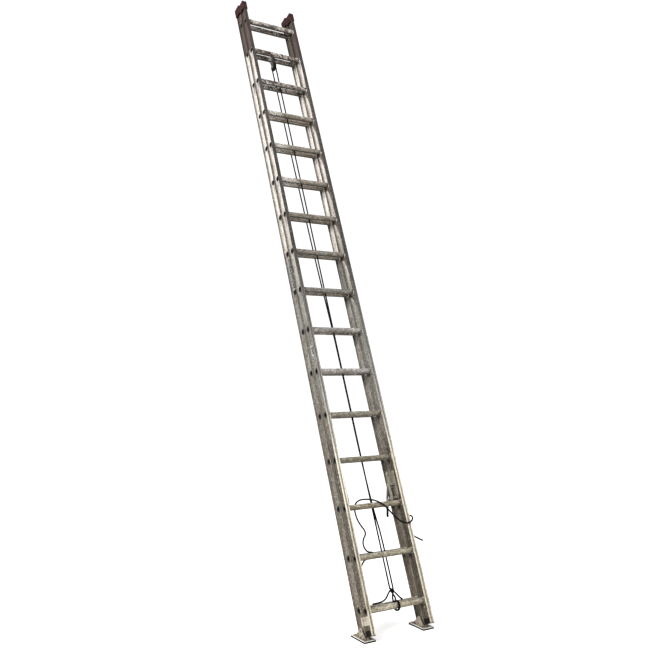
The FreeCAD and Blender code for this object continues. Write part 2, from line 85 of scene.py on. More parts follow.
# Floor and light: a plain pale floor, one broad window-like light from the climber's left,
# a weaker one from the right, and an even pale room.
class Level:
    """One output of a material's nodes; Python's operators on it add Math nodes."""

    def __init__(self, tree, socket=None):
        self.tree = tree
        self.socket = socket

    def make(self, kind, settings=None, sockets=None, output=0):
        """Add a node: its settings first, then the values or links of its sockets."""
        node = self.tree.nodes.new(kind)
        for name, value in (settings or {}).items():
            if name == "stops":
                stops = node.color_ramp.elements
                for place, _ in value[2:]:
                    stops.new(place)
                for stop, (place, colour) in zip(stops, value):
                    stop.position = place
                    stop.color = (*colour, 1)
            else:
                setattr(node, name, value)
        for name, value in (sockets or {}).items():
            if isinstance(value, Level):
                self.tree.links.new(value.socket, node.inputs[name])
            else:
                node.inputs[name].default_value = value
        return Level(self.tree, node.outputs[output]) if node.outputs else None

    def math(self, operation, a, b):
        return self.make("ShaderNodeMath", {"operation": operation}, {0: a, 1: b})

    def __add__(self, other):
        return self.math("ADD", self, other)

    def __radd__(self, other):
        return self.math("ADD", other, self)

    def __sub__(self, other):
        return self.math("SUBTRACT", self, other)

    def __rsub__(self, other):
        return self.math("SUBTRACT", other, self)

    def __mul__(self, other):
        return self.math("MULTIPLY", self, other)

    def __rmul__(self, other):
        return self.math("MULTIPLY", other, self)

    def __abs__(self):
        return self.make("ShaderNodeMath", {"operation": "ABSOLUTE"}, {0: self})


def new_finish(name):
    """A material with its nodes emptied, the place to start making them, and its shader."""
    material = bpy.data.materials.new(name)
    material.use_nodes = True
    tree = material.node_tree
    tree.nodes.clear()
    bench = Level(tree)
    shader = tree.nodes.new("ShaderNodeBsdfPrincipled")
    bench.make("ShaderNodeOutputMaterial", None, {"Surface": Level(tree, shader.outputs[0])})
    return material, bench, shader


def feed(shader, **sockets):
    """Values or links for the shader; underscores in the names stand for spaces."""
    for name, value in sockets.items():
        socket = shader.inputs[name.replace("_", " ")]
        if isinstance(value, Level):
            value.tree.links.new(value.socket, socket)
        elif hasattr(value, "__len__") and len(value) == 3:
            socket.default_value = (*value, 1)
        else:
            socket.default_value = value


def fade(level, low, high):
    """0 below low, 1 above high, smooth between; low may be the larger."""
    return level.make("ShaderNodeMapRange", {"interpolation_type": "SMOOTHSTEP"},
                      {"Value": level, "From Min": low, "From Max": high})


def tint(below, above, factor, how="MIX"):
    """Mix two colours, each a link or three numbers, by a factor."""
    below = below if isinstance(below, Level) else (*below, 1)
    above = above if isinstance(above, Level) else (*above, 1)
    return factor.make("ShaderNodeMix", {"data_type": "RGBA", "blend_type": how},
                       {0: factor, 6: below, 7: above}, 2)


def mottle(bench, where, scale, detail=3.0, roughness=0.55, distortion=0.0):
    return bench.make("ShaderNodeTexNoise", None,
                      {"Vector": where, "Scale": scale, "Detail": detail, "Roughness": roughness,
                       "Distortion": distortion})


def stretched(bench, where, x, y, z):
    return bench.make("ShaderNodeMapping", {"vector_type": "POINT"},
                      {"Vector": where, "Scale": (x, y, z)})


def bump(bench, height, strength, distance):
    return bench.make("ShaderNodeBump", None,
                      {"Height": height, "Strength": strength, "Distance": distance})


floor_finish, bench, shader = new_finish("floor_paper")
where = bench.make("ShaderNodeTexCoord", None, None, "Object")
grain = mottle(bench, where, 2.0)
seen = bench.make("ShaderNodeLightPath", None, None, "Is Camera Ray")
feed(shader, Base_Color=tint((0.93, 0.93, 0.93), (0.96, 0.96, 0.96), grain), Roughness=0.95,
     Emission_Color=tint((0.0, 0.0, 0.0), (1.0, 1.0, 1.0), seen), Emission_Strength=0.42)
floor_mesh = bpy.data.meshes.new("floor")
floor_reach = 40.0
corners = [(x * floor_reach, y * floor_reach, -0.0005)
           for x, y in ((-1, -1), (1, -1), (1, 1), (-1, 1))]
floor_mesh.from_pydata(corners, [], [(0, 1, 2, 3)])
floor_mesh.materials.append(floor_finish)
floor = bpy.data.objects.new("floor", floor_mesh)
scene.collection.objects.link(floor)

# The room is plain white to the eye; the light it sheds on the ladder is weaker.
room = bpy.data.worlds.new("room")
room.use_nodes = True
bench = Level(room.node_tree)
seen = bench.make("ShaderNodeLightPath", None, None, "Is Camera Ray")
background = room.node_tree.nodes["Background"]
background.inputs["Color"].default_value = (1.0, 1.0, 1.0, 1)
room.node_tree.links.new((0.72 + 0.4 * seen).socket, background.inputs["Strength"])
scene.world = room
scene.view_settings.view_transform = "Standard"


def soft_light(name, place, aim, size, power):
    data = bpy.data.lights.new(name, "AREA")
    data.shape = "SQUARE"
    data.size = size
    data.energy = power
    light = bpy.data.objects.new(name, data)
    scene.collection.objects.link(light)
    light.location = place
    light.rotation_euler = (Vector(aim) - Vector(place)).to_track_quat("-Z", "Y").to_euler()


soft_light("window", (-7.0, -3.0, 5.5), (0, 0.8, 2.4), 3.0, 1300)
soft_light("fill", (5.5, -5.0, 3.5), (0, 0.5, 1.8), 4.0, 100)


# Rails: aluminium I-beams, pierced for the rungs and grimy with long use.
# Their heads are stained brown. Their colours by height are painted light and shade: the webs carry
# a painted bright reflection above and painted shade, olive-brown, below, the lower front flanges
# are painted a sunlit pale cream, and the flanges darken with painted shade higher up.
STAIN_Z = 4.287


def ladder_place(bench):
    """Object coordinates turned and moved into the ladder's own frame, in metres."""
    where = bench.make("ShaderNodeTexCoord", None, None, "Object")
    back = -FOOT
    moved = Vector((back.x, back.y * math.cos(LEAN) - back.z * math.sin(LEAN),
                    back.y * math.sin(LEAN) + back.z * math.cos(LEAN)))
    return bench.make("ShaderNodeMapping", {"vector_type": "POINT"},
                      {"Vector": where, "Rotation": (LEAN, 0, 0), "Location": moved})


def along(bench, vector, letter):
    return bench.make("ShaderNodeSeparateXYZ", None, {0: vector}, letter)


def by_height(height, stops):
    """Colours set at heights in metres, blended between."""
    return height.make("ShaderNodeValToRGB", {"stops": [(h / 5, colour) for h, colour in stops]},
                       {0: height * 0.2})


def rail_finish(name, y_mid, first_rung, web_stops, rim_stops, mark, front_stops=None):
    """Stops are colours by height, with painted light and shade in them; a front list gives the front
    flange its own and paints a curved shade with a bright edge on the web.
    """
    material, bench, shader = new_finish(name)
    place = ladder_place(bench)
    x = along(bench, place, "X")
    y = along(bench, place, "Y")
    z = along(bench, place, "Z")
    drawn = mottle(bench, stretched(bench, place, 900, 900, 3), 1.0, 2.0)
    streak = mottle(bench, stretched(bench, place, 150, 150, 3.0), 1.0, 5.0, 0.65)
    patch = mottle(bench, stretched(bench, place, 22, 22, 7), 1.0, 6.0, 0.68, 0.8)
    blot = mottle(bench, stretched(bench, place, 60, 60, 26), 1.0, 6.0, 0.75, 1.0)
    grit = mottle(bench, stretched(bench, place, 150, 150, 90), 1.0, 4.0, 0.8)
    speck = fade(mottle(bench, stretched(bench, place, 330, 330, 210), 1.0, 2.0, 0.7), 0.60, 0.72)
    ragged = z + (patch - 0.5) * 0.16

    off_web = abs(abs(x) - WEB_X / 1000)
    depth = y - y_mid / 1000
    flange = fade(abs(depth), 0.0295, 0.0318)
    corner = fade(off_web, 0.0075, 0.0016) * fade(abs(depth), 0.0205, 0.0312)
    edge = fade(off_web, 0.0122, 0.0140) * flange

    right_hand = fade(x, 0.0, 0.2)
    web = by_height(ragged, web_stops)
    rim = by_height(ragged, rim_stops)
    turn = bench.make("ShaderNodeMath", {"operation": "FLOORED_MODULO"},
                      {0: z - first_rung / 1000, 1: PITCH / 1000})
    if front_stops:
        rim = tint(rim, by_height(ragged, front_stops), fade(depth, -0.010, -0.030))
        # Each rung throws a curved shade on the right-hand web below it, with a bright inner edge.
        drop = bench.make("ShaderNodeMath", {"operation": "MINIMUM"},
                          {0: PITCH / 1000 - 0.185 - turn, 1: 0.0})
        reach = bench.make("ShaderNodeMath", {"operation": "SQRT"},
                           {0: (depth - 0.033) * (depth - 0.033) * 640 + drop * drop * 36})
        upper = right_hand * fade(z, 1.95, 2.05) * fade(z, 4.10, 3.95)
        shade = upper * fade(reach, 0.93, 1.0) * fade(x, 0.2170, 0.2165)
        web = tint(web, (0.10, 0.080, 0.055), shade * 0.85)
        arc = upper * fade(abs(reach - 0.86), 0.06, 0.02) * fade(drop, 0.0, -0.02)
        web = tint(web, (0.95, 0.92, 0.86), arc * 0.6)
    colour = tint(web, rim, flange)

    # Grime: long streaks, soft patches and specks. Painted shade: dark corners between web and flanges,
    # streaked dark below each rung hole, dark flange edges higher up, and darker right-hand webs low
    # down.
    colour = tint(colour, (0.90, 0.88, 0.82), fade(grit, 0.47, 0.36) * 0.35)
    colour = tint(colour, (0.36, 0.33, 0.28), fade(grit, 0.50, 0.62) * 0.70, "MULTIPLY")
    colour = tint(colour, (0.42, 0.38, 0.32), fade(streak, 0.50, 0.62) * 0.75, "MULTIPLY")
    colour = tint(colour, (0.50, 0.44, 0.36), fade(patch, 0.51, 0.63) * 0.6, "MULTIPLY")
    colour = tint(colour, (0.30, 0.25, 0.20), fade(blot, 0.53, 0.62) * 0.6, "MULTIPLY")
    # Painted shade: the corners between web and flanges darkened.
    colour = tint(colour, (0.035, 0.028, 0.022), corner * (0.60 + 0.4 * patch))
    # Painted shade below each rung hole, broken into streaks.
    below = fade(turn, 0.18, 0.292) * fade(abs(depth), 0.019, 0.006) * (1 - flange)
    colour = tint(colour, (0.075, 0.060, 0.045), below * fade(streak, 0.35, 0.6) * 0.85)
    colour = tint(colour, (0.045, 0.038, 0.032), speck * 0.6)
    # Painted shade: the flange edges darkened higher up.
    colour = tint(colour, (0.030, 0.025, 0.022), edge * fade(z, 1.0, 2.2) * 0.75)
    # Painted shade: the right-hand webs darkened low down.
    colour = tint(colour, (0.55, 0.50, 0.42), right_hand * fade(z, 1.10, 0.85) * (1 - flange) * 0.9,
                  "MULTIPLY")

    # Painted shade: a dark ring round every rung's end, fainter higher up.
    rise = bench.make("ShaderNodeMath", {"operation": "PINGPONG"},
                      {0: z - first_rung / 1000, 1: PITCH / 2000})
    from_hole = bench.make("ShaderNodeMath", {"operation": "SQRT"}, {0: rise * rise + depth * depth})
    end_ring_shade = fade(from_hole, 0.0235, 0.0195) * (1 - flange)
    colour = tint(colour, (0.016, 0.012, 0.009), end_ring_shade * (1 - fade(z, 2.9, 3.6) * 0.5))

    # Blank stickers on the outer web: a small dark one on the fly, a long rubbed one on the base.
    low_end, high_end, half, ink = mark
    outside = fade(x, -0.2170, -0.2180) * fade(abs(depth), half + 0.0006, half)
    label = outside * fade(z, low_end, low_end + 0.001) * fade(z, high_end, high_end - 0.001)
    inner = fade(abs(depth), half - 0.003, half - 0.0036)
    inner = inner * fade(z, low_end + 0.004, low_end + 0.005)
    inner = inner * fade(z, high_end - 0.004, high_end - 0.005)
    colour = tint(colour, (0.74, 0.72, 0.70), label * (0.9 - 0.5 * fade(grit, 0.50, 0.60)))
    colour = tint(colour, ink, label * inner * fade(grit, 0.62, 0.50))

    # Brown stain on the heads, cut off square where the wet end stopped.
    stain = fade(z + (streak - 0.5) * 0.012, STAIN_Z - 0.004, STAIN_Z + 0.004)
    wood = tint((0.009, 0.0045, 0.0035), (0.048, 0.0255, 0.0165), fade(streak, 0.40, 0.60))
    rubbed = flange * fade(grit, 0.48, 0.36) * 0.35 + fade(patch, 0.57, 0.68) * 0.2
    wood = tint(wood, (0.16, 0.11, 0.085), rubbed)
    # Painted shade in the corners, inside the stain too.
    wood = tint(wood, (0.012, 0.006, 0.005), corner * 0.8)
    colour = tint(colour, wood, stain * 0.96)

    low = fade(ragged, 2.55, 1.35)
    rough = 0.36 + 0.18 * patch + 0.16 * low + 0.12 * speck
    rough = rough * (1 - stain) + stain * (0.50 + 0.2 * patch)
    metal = (0.55 - 0.30 * low) * (1 - 0.35 * corner) * (1 - 0.9 * stain)
    height = drawn * 0.35 + streak * 0.4 + blot * -0.3 + speck * -0.5
    feed(shader, Base_Color=colour, Roughness=rough, Metallic=metal,
         Normal=bump(bench, height, 0.4, 0.0004))
    return material


# Colours by height, painted light and shade: the webs have a painted bright reflection high up and
# painted shade low down; the fly's front flange is painted a sunlit cream low down, and all the flanges
# darken with painted shade high up.
fly_web = [(0.0, (0.085, 0.068, 0.044)), (0.3, (0.058, 0.047, 0.030)), (1.0, (0.050, 0.043, 0.030)),
           (1.15, (0.14, 0.125, 0.10)), (1.5, (0.15, 0.145, 0.13)), (2.1, (0.30, 0.29, 0.255)),
           (2.4, (0.52, 0.49, 0.44)), (2.7, (0.76, 0.71, 0.66)), (3.0, (0.88, 0.83, 0.78)),
           (4.2, (1.0, 0.95, 0.90))]
base_web = [(0.0, (0.15, 0.125, 0.09)), (1.2, (0.12, 0.105, 0.085)), (1.5, (0.21, 0.20, 0.175)),
            (2.05, (0.25, 0.235, 0.21)), (2.35, (0.20, 0.195, 0.185)), (2.55, (0.78, 0.73, 0.66)),
            (3.0, (0.96, 0.92, 0.87)), (4.2, (0.98, 0.95, 0.91))]
fly_front = [(0.0, (0.54, 0.49, 0.385)), (0.45, (0.60, 0.56, 0.46)), (0.80, (0.80, 0.76, 0.63)),
             (1.05, (0.50, 0.48, 0.40)), (1.35, (0.29, 0.28, 0.26)), (1.80, (0.21, 0.205, 0.195)),
             (2.15, (0.125, 0.12, 0.11)), (2.45, (0.058, 0.053, 0.047)),
             (3.35, (0.038, 0.032, 0.028)), (3.65, (0.105, 0.092, 0.084)),
             (4.25, (0.042, 0.033, 0.030))]
flange_stops = [(0.0, (0.15, 0.125, 0.09)), (1.3, (0.15, 0.135, 0.11)), (1.80, (0.17, 0.165, 0.15)),
                (2.15, (0.12, 0.115, 0.105)), (2.45, (0.070, 0.063, 0.056)),
                (3.35, (0.045, 0.038, 0.034)), (3.65, (0.10, 0.088, 0.08)),
                (4.25, (0.07, 0.058, 0.052))]

# Each sticker: its lower and upper ends along the rail, half its width, and its colour, metres.
fly_mark = (1.636, 1.704, 0.017, (0.006, 0.006, 0.007))
base_mark = (2.17, 2.42, 0.019, (0.045, 0.044, 0.048))
fly_rail_finish = rail_finish("fly_rail_metal", 0.0, 0.0, fly_web, flange_stops, fly_mark, fly_front)
base_rail_finish = rail_finish("base_rail_metal", BASE_Y, BASE_RISE, base_web, flange_stops, base_mark)
for side in ("left", "right"):
    frame["nodes"]["fly_rail_" + side].material_slots[0].material = fly_rail_finish
    frame["nodes"]["base_rail_" + side].material_slots[0].material = base_rail_finish


# Rungs: ribbed aluminium tube, flat and serrated on top, sixteen to a section. Each end is drawn
# down to a round spigot, pushed through the web against a rolled bead, and flared over outside.
def strip(rows, closed=True):
    """Faces between neighbouring rows of vertex numbers, each row a closed loop."""
    faces = []
    pairs = list(zip(rows, rows[1:] + rows[:1])) if closed else list(zip(rows, rows[1:]))
    for low, high in pairs:
        for i in range(len(low)):
            j = (i + 1) % len(low)
            faces.append((low[i], low[j], high[j], high[i]))
    return faces


def mesh_object(name, vertices, faces, smooth=True):
    mesh = bpy.data.meshes.new(name)
    mesh.from_pydata([tuple(v) for v in vertices], [], faces)
    solid = bmesh.new()
    solid.from_mesh(mesh)
    bmesh.ops.recalc_face_normals(solid, faces=solid.faces)
    solid.to_mesh(mesh)
    solid.free()
    mesh.shade_smooth() if smooth else mesh.shade_flat()
    made = bpy.data.objects.new(name, mesh)
    scene.collection.objects.link(made)
    return made


RUNG_R, TREAD_HALF = 18.0, 16.0
TREAD_TILT = math.radians(14.5)


def ring(x, radius, count):
    """Places round a circle that faces along X."""
    turns = [math.tau * i / count for i in range(count)]
    return [Vector((x, radius * math.cos(turn), radius * math.sin(turn))) for turn in turns]


def rung_outline():
    """The tube's section in millimetres: teeth on the tread, fine ribs round the rest."""
    bulge = RUNG_R - TREAD_HALF
    flank = [(TREAD_HALF + bulge * (step / 20) ** 0.5, TREAD_HALF - TREAD_HALF * step / 20)
             for step in range(1, 20)]
    base = [(-TREAD_HALF + 2 * TREAD_HALF * step / 80, TREAD_HALF) for step in range(81)]
    base += flank
    for step in range(121):
        angle = math.pi * step / 120
        base.append((RUNG_R * math.cos(angle), -RUNG_R * math.sin(angle)))
    base += [(-y, z) for y, z in reversed(flank)]
    done = []
    run = 0.0
    for i, (y, z) in enumerate(base):
        before = base[i - 1]
        after = base[(i + 1) % len(base)]
        tangent = Vector((after[0] - before[0], after[1] - before[1])).normalized()
        inward = Vector((tangent.y, -tangent.x))
        run += math.hypot(y - before[0], z - before[1]) if i else 0.0
        if i <= 80:
            tooth = (y + TREAD_HALF) % 4.0
            sink = 1.1 if 1.0 < tooth < 3.0 else 0.0
            if i < 3 or i > 77:
                sink = 0.5 if i in (0, 80) else 0.0
        else:
            sink = 0.55 * (0.5 - 0.5 * math.cos(2 * math.pi * run / 3.3)) ** 2
        done.append((y + inward.x * sink, z + inward.y * sink))
    return done


def make_rung():
    """One rung about its own axis, leaned as it sits in the ladder, in metres."""
    outline = rung_outline()
    inside = 215.5
    points = []
    rows = []
    for x in (-inside, -inside + 3, inside - 3, inside):
        rows.append([len(points) + i for i in range(len(outline))])
        points += [Vector((x, y, z)) for y, z in outline]
    for x in (inside, -inside):
        rows.append([len(points) + i for i in range(len(outline))])
        points += [Vector((x, *(Vector(p).normalized() * 15.6))) for p in outline]
    faces = strip(rows)
    # Outline of an end, as places along X and radii: bead, spigot, flare, and down the bore.
    bead = [(211.0, 16.4), (211.4, 18.8), (212.3, 20.0), (213.6, 20.45), (214.8, 20.3), (215.5, 19.6),
            (215.6, 15.0), (218.4, 15.0), (218.45, 17.2), (218.9, 17.8), (219.7, 18.0), (220.7, 17.6),
            (221.3, 16.6), (221.4, 15.2), (221.1, 13.6), (220.2, 12.7), (218.5, 12.5), (213.0, 12.5),
            (206.0, 13.2), (203.0, 15.0), (206.0, 16.0)]
    for side in (-1, 1):
        rows = []
        for x, r in bead:
            rows.append([len(points) + i for i in range(40)])
            points += ring(side * x, r, 40)
        faces += strip(rows)
    turn = Matrix.Rotation(TREAD_TILT - LEAN, 3, "X")
    return mesh_object("rung", [turn @ p / 1000 for p in points], faces)


def rung_finish(name, y_mid, first_rung, stops):
    material, bench, shader = new_finish(name)
    place = ladder_place(bench)
    x = along(bench, place, "X")
    y = along(bench, place, "Y")
    z = along(bench, place, "Z")
    streak = mottle(bench, stretched(bench, place, 4, 420, 420), 1.0, 3.0)
    patch = mottle(bench, stretched(bench, place, 24, 40, 40), 1.0, 5.0, 0.65, 0.5)
    blot = mottle(bench, stretched(bench, place, 16, 26, 26), 1.0, 6.0, 0.75, 1.2)
    speck = fade(mottle(bench, place, 420.0, 2.0, 0.7), 0.62, 0.72)
    local = bench.make("ShaderNodeMath", {"operation": "FLOORED_MODULO"},
                       {0: z - first_rung / 1000 + PITCH / 2000, 1: PITCH / 1000}) - PITCH / 2000
    tread = fade(local, 0.0085, 0.0125)
    under = fade(local, 0.002, -0.012)
    high = fade(z, 3.80, 3.98)
    middle = fade(abs(x), 0.165, 0.04)

    colour = by_height(z + (patch - 0.5) * 0.03, stops)
    grit = mottle(bench, stretched(bench, place, 90, 170, 170), 1.0, 4.0, 0.8)
    colour = tint(colour, (0.85, 0.82, 0.75), fade(grit, 0.47, 0.36) * 0.45)
    colour = tint(colour, (0.34, 0.30, 0.24), fade(grit, 0.50, 0.62) * 0.75, "MULTIPLY")
    # Painted shade on each rung's underside.
    colour = tint(colour, (0.55, 0.50, 0.44), under * 0.6, "MULTIPLY")
    colour = tint(colour, (0.45, 0.40, 0.32), fade(streak, 0.50, 0.62) * 0.8, "MULTIPLY")
    colour = tint(colour, (0.72, 0.69, 0.63), tread * fade(patch, 0.62, 0.42) * (0.30 + 0.3 * middle))
    colour = tint(colour, (0.70, 0.67, 0.60), fade(blot, 0.44, 0.38) * 0.45)
    colour = tint(colour, (0.48, 0.41, 0.31), fade(patch, 0.51, 0.62) * 0.65, "MULTIPLY")
    sunny = fade(x, -0.02, -0.15) * fade(z, 2.7, 3.0) * fade(z, 4.2, 3.9)
    colour = tint(colour, (0.88, 0.86, 0.81), sunny * fade(grit, 0.58, 0.46) * 0.55)
    colour = tint(colour, (0.022, 0.013, 0.011), fade(blot, 0.50, 0.525) * high * 0.95)
    # Painted shade on the rear underside of the rungs from about two metres up.
    rear_underside_shade = fade(y - y_mid / 1000, -0.011, -0.003) * fade(local, 0.001, -0.006) * fade(z, 1.9, 2.3)
    colour = tint(colour, (0.030, 0.024, 0.018), rear_underside_shade * 0.9)
    colour = tint(colour, (0.050, 0.042, 0.032), fade(blot, 0.57, 0.62) * 0.75)
    colour = tint(colour, (0.06, 0.05, 0.042), speck * 0.45)
    shoulder = fade(abs(x), 0.2095, 0.2125)
    colour = tint(colour, (0.70, 0.67, 0.62), shoulder * 0.5)
    from_axis = bench.make("ShaderNodeMath", {"operation": "SQRT"},
                           {0: local * local + (y - y_mid / 1000) * (y - y_mid / 1000)})
    # Painted shade at each rung's open end outside the web: near-black over the flare and down the
    # bore.
    bore = fade(from_axis, 0.0184, 0.0174) * fade(abs(x), 0.2150, 0.2165)
    colour = tint(colour, (0.006, 0.005, 0.0045), bore)
    # Deeper painted shade inside the tube's end.
    tube_end_shade = fade(from_axis, 0.0155, 0.0150) * fade(abs(x), 0.200, 0.2035)
    colour = tint(colour, (0.003, 0.0025, 0.002), tube_end_shade)
    rough = 0.42 + 0.20 * patch + 0.12 * speck - 0.08 * tread + 0.3 * bore
    metal = (0.60 - 0.25 * fade(patch, 0.53, 0.72)) * (1 - 0.7 * fade(blot, 0.545, 0.60) * high)
    feed(shader, Base_Color=colour, Roughness=rough, Metallic=metal * (1 - bore),
         Normal=bump(bench, streak * 0.5 + patch * 0.5 + speck * -0.4, 0.3, 0.0004))
    return material


def grown(name, tree, sockets, values, mesh=None):
    """Run a Geometry Nodes tree on a mesh, or on nothing, and keep what it makes as a plain mesh."""
    carrier = bpy.data.objects.new(name, mesh or bpy.data.meshes.new(name))
    scene.collection.objects.link(carrier)
    modifier = carrier.modifiers.new("grow", "NODES")
    modifier.node_group = tree
    for label, value in values.items():
        modifier[sockets[label]] = value
    bpy.context.view_layer.update()
    graph = bpy.context.evaluated_depsgraph_get()
    made = bpy.data.meshes.new_from_object(carrier.evaluated_get(graph))
    carrier.modifiers.clear()
    carrier.data = made
    return carrier


def row_of(source, name, finish, first, step, count):
    """Stand copies of a mesh in a row, with Geometry Nodes, and make one plain mesh of them."""
    tree = bpy.data.node_groups.new(name, "GeometryNodeTree")
    sockets = {}
    for label, kind in (("Piece", "NodeSocketObject"), ("First", "NodeSocketVector"),
                        ("Step", "NodeSocketVector"), ("Count", "NodeSocketInt"),
                        ("Finish", "NodeSocketMaterial")):
        sockets[label] = tree.interface.new_socket(label, in_out="INPUT", socket_type=kind).identifier
    tree.interface.new_socket("Geometry", in_out="OUTPUT", socket_type="NodeSocketGeometry")
    bench = Level(tree)
    inputs = tree.nodes.new("NodeGroupInput")
    given = {label: Level(tree, inputs.outputs[label]) for label in sockets}
    line = bench.make("GeometryNodeMeshLine", {"mode": "OFFSET"},
                      {"Count": given["Count"], "Start Location": given["First"],
                       "Offset": given["Step"]})
    piece = bench.make("GeometryNodeObjectInfo", None, {"Object": given["Piece"]}, "Geometry")
    placed = bench.make("GeometryNodeInstanceOnPoints", None, {"Points": line, "Instance": piece})
    real = bench.make("GeometryNodeRealizeInstances", None, {"Geometry": placed})
    real = bench.make("GeometryNodeSetMaterial", None, {"Geometry": real, "Material": given["Finish"]})
    bench.make("NodeGroupOutput", None, {"Geometry": real})
    return grown(name, tree, sockets, {"Piece": source, "First": first, "Step": step, "Count": count,
                                       "Finish": finish})


near_stops = [(0.0, (0.40, 0.365, 0.275)), (0.3, (0.31, 0.285, 0.21)), (0.61, (0.285, 0.25, 0.18)),
              (0.92, (0.21, 0.195, 0.145)), (1.22, (0.22, 0.21, 0.165)), (1.52, (0.36, 0.345, 0.345)),
              (1.83, (0.30, 0.30, 0.302)), (2.13, (0.20, 0.196, 0.18)), (2.75, (0.24, 0.22, 0.19)),
              (3.66, (0.30, 0.275, 0.24)), (4.0, (0.50, 0.455, 0.435)), (4.6, (0.50, 0.455, 0.44))]
far_stops = [(0.0, (0.34, 0.30, 0.23)), (0.9, (0.22, 0.195, 0.15)), (1.5, (0.26, 0.24, 0.22)),
             (2.1, (0.36, 0.335, 0.29)), (3.7, (0.42, 0.37, 0.32)), (4.0, (0.44, 0.40, 0.375)),
             (4.6, (0.40, 0.365, 0.35))]
rung = make_rung()
for section, body, y_mid, rise, stops in (("fly", "fly_section", 0.0, 0.0, near_stops),
                                          ("base", "base_section", BASE_Y, BASE_RISE, far_stops)):
    finish = rung_finish(section + "_rung_metal", y_mid, rise, stops)
    row = row_of(rung, section + "_rungs", finish, ladder(0, y_mid, rise), UP * PITCH / 1000, 16)
    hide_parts(*[f"{section}_rung_{number:02d}" for number in range(1, 17)])
    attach(row, body)
bpy.data.objects.remove(rung)


# Caps and plugs: dull moulded plastic. The top caps are maroon-brown sleeves, faded on their corners;
# the plugs in the fly's feet are black and scuffed.
def plastic(name, dark, worn, scuff):
    material, bench, shader = new_finish(name)
    place = ladder_place(bench)
    pebble = mottle(bench, place, 900.0, 2.0, 0.6)
    patch = mottle(bench, place, 45.0, 5.0, 0.65, 0.4)
    scratch = mottle(bench, stretched(bench, place, 300, 60, 60), 1.0, 3.0, 0.7)
    colour = tint(dark, worn, fade(patch, 0.42, 0.72) * scuff)
    colour = tint(colour, worn, fade(scratch, 0.60, 0.66) * scuff)
    feed(shader, Base_Color=colour, Roughness=0.60 + 0.3 * patch, Specular_IOR_Level=0.12,
         Normal=bump(bench, pebble + scratch * 0.6, 0.25, 0.0003))
    return material


cap_finish = plastic("maroon_cap", (0.020, 0.0065, 0.007), (0.075, 0.036, 0.034), 0.5)
plug_finish = plastic("black_plug", (0.002, 0.002, 0.002), (0.012, 0.011, 0.010), 0.3)
for node in ("fly_top_caps", "base_top_caps"):
    frame["nodes"][node].material_slots[0].material = cap_finish
frame["nodes"]["fly_foot_caps"].material_slots[0].material = plug_finish


# Fittings: guides, lock brackets and hooks, bolts, rivets, springs and the pulley's hanger.
# Each is plated, painted or mill-finished, dulled, with grime in patches and bright rubbed spots.
def fitting(name, bright, grime, amount, metallic, rough):
    material, bench, shader = new_finish(name)
    place = ladder_place(bench)
    patch = mottle(bench, place, 60.0, 5.0, 0.65, 0.3)
    fine = mottle(bench, place, 700.0, 2.0, 0.6)
    scratch = mottle(bench, stretched(bench, place, 40, 40, 900), 1.0, 3.0, 0.6)
    colour = tint(bright, grime, fade(patch, 0.45, 0.68) * amount)
    colour = tint(colour, grime, fade(fine, 0.60, 0.75) * amount * 0.6)
    feed(shader, Base_Color=colour, Metallic=metallic * (1 - fade(patch, 0.45, 0.68) * amount * 0.6),
         Roughness=rough + 0.22 * patch, Normal=bump(bench, fine * 0.4 + scratch * 0.5, 0.3, 0.0003))
    return material


guide_finish = fitting("guide_metal", (0.46, 0.42, 0.36), (0.13, 0.10, 0.07), 0.75, 0.7, 0.34)
stained_finish = fitting("stained_guide", (0.075, 0.048, 0.038), (0.035, 0.020, 0.017), 0.6, 0.1, 0.5)
bracket_finish = fitting("bracket_metal", (0.26, 0.235, 0.19), (0.035, 0.028, 0.02), 0.9, 0.5, 0.40)
hook_finish = fitting("hook_casting", (0.26, 0.23, 0.19), (0.06, 0.048, 0.038), 0.8, 0.7, 0.42)
zinc_finish = fitting("zinc_fasteners", (0.40, 0.37, 0.33), (0.06, 0.048, 0.036), 0.8, 0.8, 0.32)
black_finish = fitting("black_paint", (0.030, 0.030, 0.031), (0.14, 0.12, 0.10), 0.45, 0.2, 0.38)
for node, finish in (("fly_guides", guide_finish), ("base_guides", stained_finish),
                     ("lock_brackets", bracket_finish), ("lock_hook_left", hook_finish),
                     ("lock_hook_right", hook_finish), ("base_fasteners", zinc_finish),
                     ("pulley_hanger", black_finish), ("pulley_axle", zinc_finish),
                     ("lock_finger_left", plug_finish), ("lock_finger_right", plug_finish),
                     ("pulley_wheel", plug_finish)):
    frame["nodes"][node].material_slots[0].material = finish


